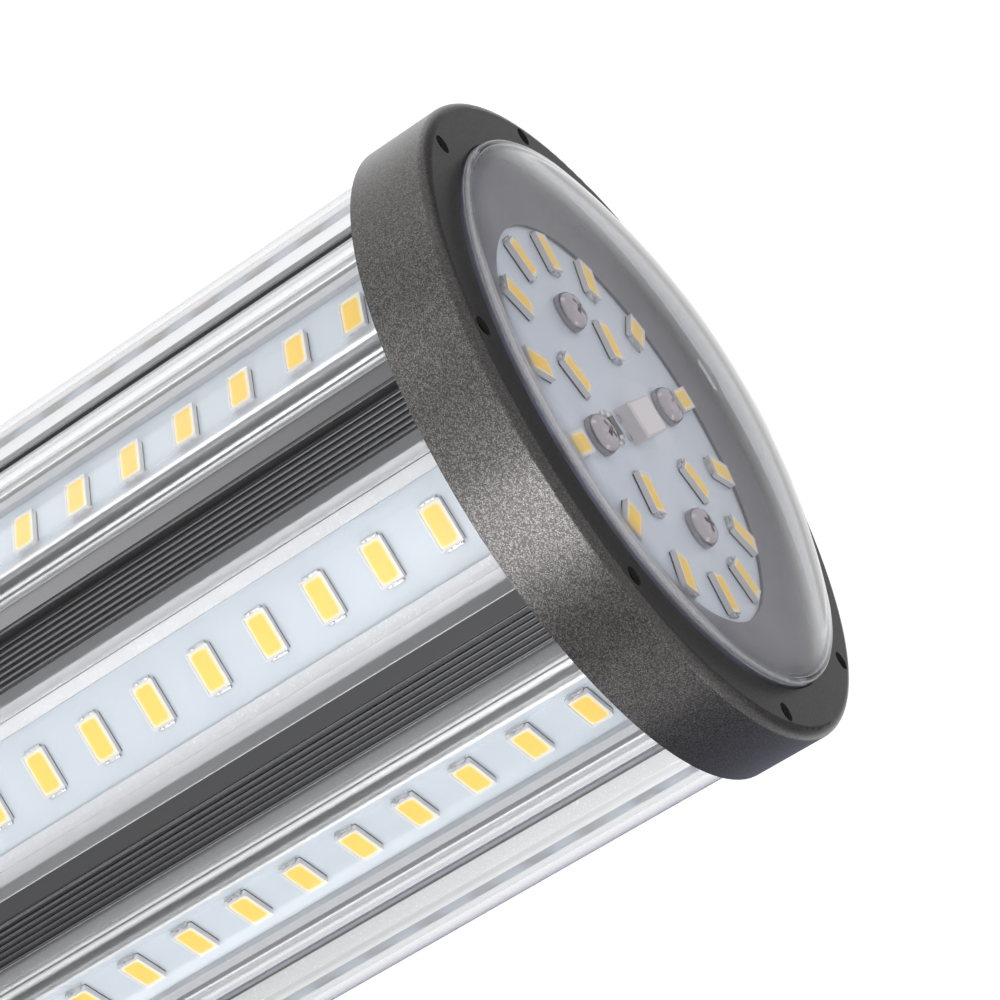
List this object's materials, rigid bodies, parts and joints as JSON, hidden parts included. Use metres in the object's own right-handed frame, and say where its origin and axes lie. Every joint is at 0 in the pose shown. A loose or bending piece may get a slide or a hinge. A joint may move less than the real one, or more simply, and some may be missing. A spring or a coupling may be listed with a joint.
{
  "type": "led lamp",
  "caption": "Eight-sided LED lamp on a screw cap: ribbed aluminium heat sink, light strips under clear bowed covers, clear domed head in a dark ring.",
  "frame": {"origin": "tip of the centre contact, on the lamp's axis", "axes": "+Z along the lamp's axis from the screw cap to the clear dome; one light strip faces -Y"},
  "size_m": [0.0812, 0.0812, 0.1999],
  "materials": {
    "ring_paint": "fine textured powder coat",
    "clear_plastic": "clear moulded plastic",
    "silicone": "matt",
    "aluminium": "extruded, satin",
    "trim_grey": "satin",
    "board_white": "solder mask",
    "led_white": "phosphor window in a white package",
    "screw_black": "gloss black",
    "screw_steel": "coated steel",
    "connector_cream": "moulded",
    "chip_black": "matt",
    "housing_black": "fine satin",
    "board_green": "solder mask",
    "ferrite": "matt",
    "can_blue": "shrink sleeve",
    "lead_red": "insulation",
    "cap_nickel": "nickel plate",
    "insulator_black": "gloss"
  },
  "bodies": {
    "root": {"board_trim": "trim_grey", "cap_insulator": "insulator_black", "cap_leads": "lead_red", "centre_contact": "cap_nickel", "chip_resistor": "chip_black", "dome_lens": "clear_plastic", "dome_seal": "silicone", "driver_board": "board_green", "driver_capacitor": "can_blue", "driver_choke": "ferrite", "driver_housing": "housing_black", "driver_transformer": "ferrite", "end_ring": "ring_paint", "end_ring_screws": "screw_black", "head_board": "board_white", "head_board_leds": "led_white", "head_board_screws": "screw_steel", "head_plate": "aluminium", "head_plate_screws": "screw_steel", "heat_sink": "aluminium", "housing_seal": "silicone", "link_board": "board_white", "link_leads": "lead_red", "rear_plate": "aluminium", "rear_plate_screws": "screw_steel", "rear_ring": "ring_paint", "rear_ring_screws": "screw_black", "screw_shell": "cap_nickel", "strip_board_1": "board_white", "strip_board_2": "board_white", "strip_board_3": "board_white", "strip_board_4": "board_white", "strip_board_5": "board_white", "strip_board_6": "board_white", "strip_board_7": "board_white", "strip_board_8": "board_white", "strip_cover_1": "clear_plastic", "strip_cover_2": "clear_plastic", "strip_cover_3": "clear_plastic", "strip_cover_4": "clear_plastic", "strip_cover_5": "clear_plastic", "strip_cover_6": "clear_plastic", "strip_cover_7": "clear_plastic", "strip_cover_8": "clear_plastic", "strip_leds_1": "led_white", "strip_leds_2": "led_white", "strip_leds_3": "led_white", "strip_leds_4": "led_white", "strip_leds_5": "led_white", "strip_leds_6": "led_white", "strip_leds_7": "led_white", "strip_leds_8": "led_white", "supply_leads": "lead_red", "wire_connector": "connector_cream"}
  },
  "joints": []
}
